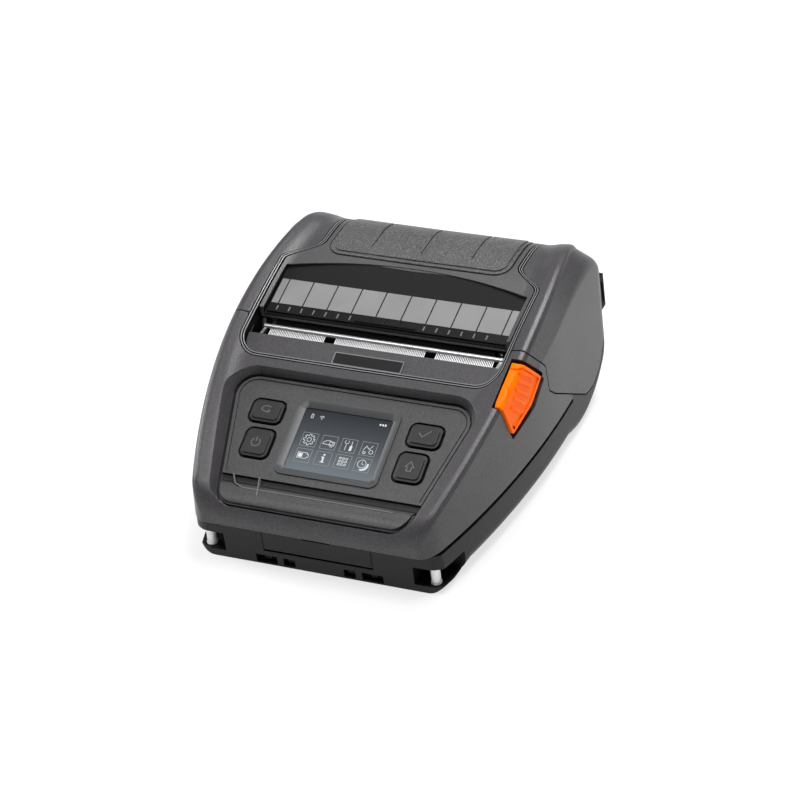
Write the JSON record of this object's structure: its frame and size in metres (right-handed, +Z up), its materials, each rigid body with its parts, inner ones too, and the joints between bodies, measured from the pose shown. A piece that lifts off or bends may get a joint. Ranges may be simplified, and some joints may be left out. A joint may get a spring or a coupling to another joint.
{
  "type": "portable label printer",
  "caption": "Wedge-shaped portable thermal label printer with a sloping key panel, a hinged lid over a roll chamber and an orange lid release.",
  "frame": {"origin": "middle of the base's bounding box, on the ground", "axes": "+X to the printer's right as seen from the front, +Y towards its back, +Z up; the control panel faces -Y and up"},
  "size_m": [0.1462, 0.178, 0.0802],
  "materials": {
    "charcoal_shell": "fine matte texture",
    "seal": "satin",
    "panel": "fine matte texture",
    "bezel": "satin gloss",
    "display": "polished",
    "bright_steel": "brushed",
    "board": "solder mask",
    "keys": "satin",
    "frame_plastic": "matte",
    "guide_grey": "satin",
    "ceramic": "glazed",
    "aluminium": "machined",
    "motor_case": "satin",
    "gear_plastic": "moulded",
    "bronze": "sintered",
    "contacts": "plated",
    "roller_rubber": "ground",
    "grip": "dry matte",
    "orange": "satin gloss"
  },
  "bodies": {
    "case": {"lower_case": "charcoal_shell", "upper_housing": "charcoal_shell", "left_shoulder_cover": "charcoal_shell", "right_shoulder_cover": "charcoal_shell", "seal_bead": "seal", "control_panel": "panel", "lcd_bezel": "bezel", "lcd_window": "display", "lcd_module": "bright_steel", "keypad_board": "board", "name_plate": "bezel", "tear_bar": "bright_steel", "exit_rod": "bright_steel", "left_side_frame": "frame_plastic", "right_side_frame": "frame_plastic", "chamber_trough": "frame_plastic", "print_head": "ceramic", "heat_sink": "aluminium", "stepper_motor": "motor_case", "main_board": "board", "battery_pack": "frame_plastic", "io_ports": "bright_steel", "charge_contacts": "contacts", "strap_pins": "bright_steel", "rear_strap_loops": "frame_plastic", "case_screws": "bright_steel", "media_sensor": "frame_plastic", "guide_rail": "bright_steel", "hinge_pin": "bright_steel"},
    "lid": {"lid_shell": "charcoal_shell", "lid_grip_pad": "grip", "mouth_tray": "frame_plastic", "guide_plate": "guide_grey", "peeler_strip": "frame_plastic", "lid_frame": "frame_plastic", "platen_bushes": "bronze"},
    "platen": {"platen_shaft": "bright_steel", "platen_roller": "roller_rubber", "platen_gear": "gear_plastic"},
    "release_button": {"latch_button": "orange"},
    "hooks": {"latch_hooks": "bright_steel"},
    "feed_key": {"key_feed": "keys"},
    "power_key": {"key_power": "keys"},
    "enter_key": {"key_enter": "keys"},
    "home_key": {"key_home": "keys"},
    "flap": {"port_flap": "frame_plastic"},
    "left_guide": {"left_media_guide": "frame_plastic"},
    "right_guide": {"right_media_guide": "frame_plastic"},
    "idler": {"idler_gear": "gear_plastic"},
    "pinion": {"motor_pinion": "bright_steel"}
  },
  "joints": [
    {"name": "lid_hinge", "type": "hinge", "parent": "case", "child": "lid", "pos_m": [0, 0.0816, 0.0425], "axis": [-1, 0, 0], "range_deg": [0, 90]},
    {"name": "platen_spin", "type": "hinge", "parent": "lid", "child": "platen", "pos_m": [0, 0.0095, 0.0593], "axis": [1, 0, 0], "continuous": true},
    {"name": "idler_spin", "type": "hinge", "parent": "case", "child": "idler", "pos_m": [-0.0537, -0.00279, 0.0497], "axis": [1, 0, 0], "continuous": true},
    {"name": "pinion_spin", "type": "hinge", "parent": "case", "child": "pinion", "pos_m": [-0.0537, -0.0117, 0.04079], "axis": [1, 0, 0], "continuous": true},
    {"name": "hooks_turn", "type": "hinge", "parent": "case", "child": "hooks", "pos_m": [0, 0.0035, 0.04], "axis": [1, 0, 0], "range_deg": [0, 12.5], "stiffness_Nm_per_rad": 0.6, "springref_deg": -5.73},
    {"name": "release_press", "type": "slide", "parent": "case", "child": "release_button", "axis": [-1, 0, 0], "range_m": [0, 0.0026]},
    {"name": "feed_press", "type": "slide", "parent": "case", "child": "feed_key", "axis": [0, 0.3827, -0.9239], "range_m": [0, 0.0005], "stiffness_N_per_m": 900, "springref_m": -0.0006},
    {"name": "power_press", "type": "slide", "parent": "case", "child": "power_key", "axis": [0, 0.3827, -0.9239], "range_m": [0, 0.0005], "stiffness_N_per_m": 900, "springref_m": -0.0006},
    {"name": "enter_press", "type": "slide", "parent": "case", "child": "enter_key", "axis": [0, 0.3827, -0.9239], "range_m": [0, 0.0005], "stiffness_N_per_m": 900, "springref_m": -0.0006},
    {"name": "home_press", "type": "slide", "parent": "case", "child": "home_key", "axis": [0, 0.3827, -0.9239], "range_m": [0, 0.0005], "stiffness_N_per_m": 900, "springref_m": -0.0006},
    {"name": "flap_hinge", "type": "hinge", "parent": "case", "child": "flap", "pos_m": [0, -0.083, 0.0087], "axis": [1, 0, 0], "range_deg": [0, 90]},
    {"name": "left_guide_slide", "type": "slide", "parent": "case", "child": "left_guide", "axis": [1, 0, 0], "range_m": [0, 0.03]},
    {"name": "right_guide_slide", "type": "slide", "parent": "case", "child": "right_guide", "axis": [-1, 0, 0], "range_m": [0, 0.0301]}
  ],
  "couplings": [
    {"joint": "idler_spin", "follows": "platen_spin", "ratio": -0.73333},
    {"joint": "pinion_spin", "follows": "platen_spin", "ratio": 1.8333},
    {"joint": "release_press", "follows": "hooks_turn", "m_per_rad": 0.01146},
    {"joint": "right_guide_slide", "follows": "left_guide_slide", "ratio": 1}
  ]
}
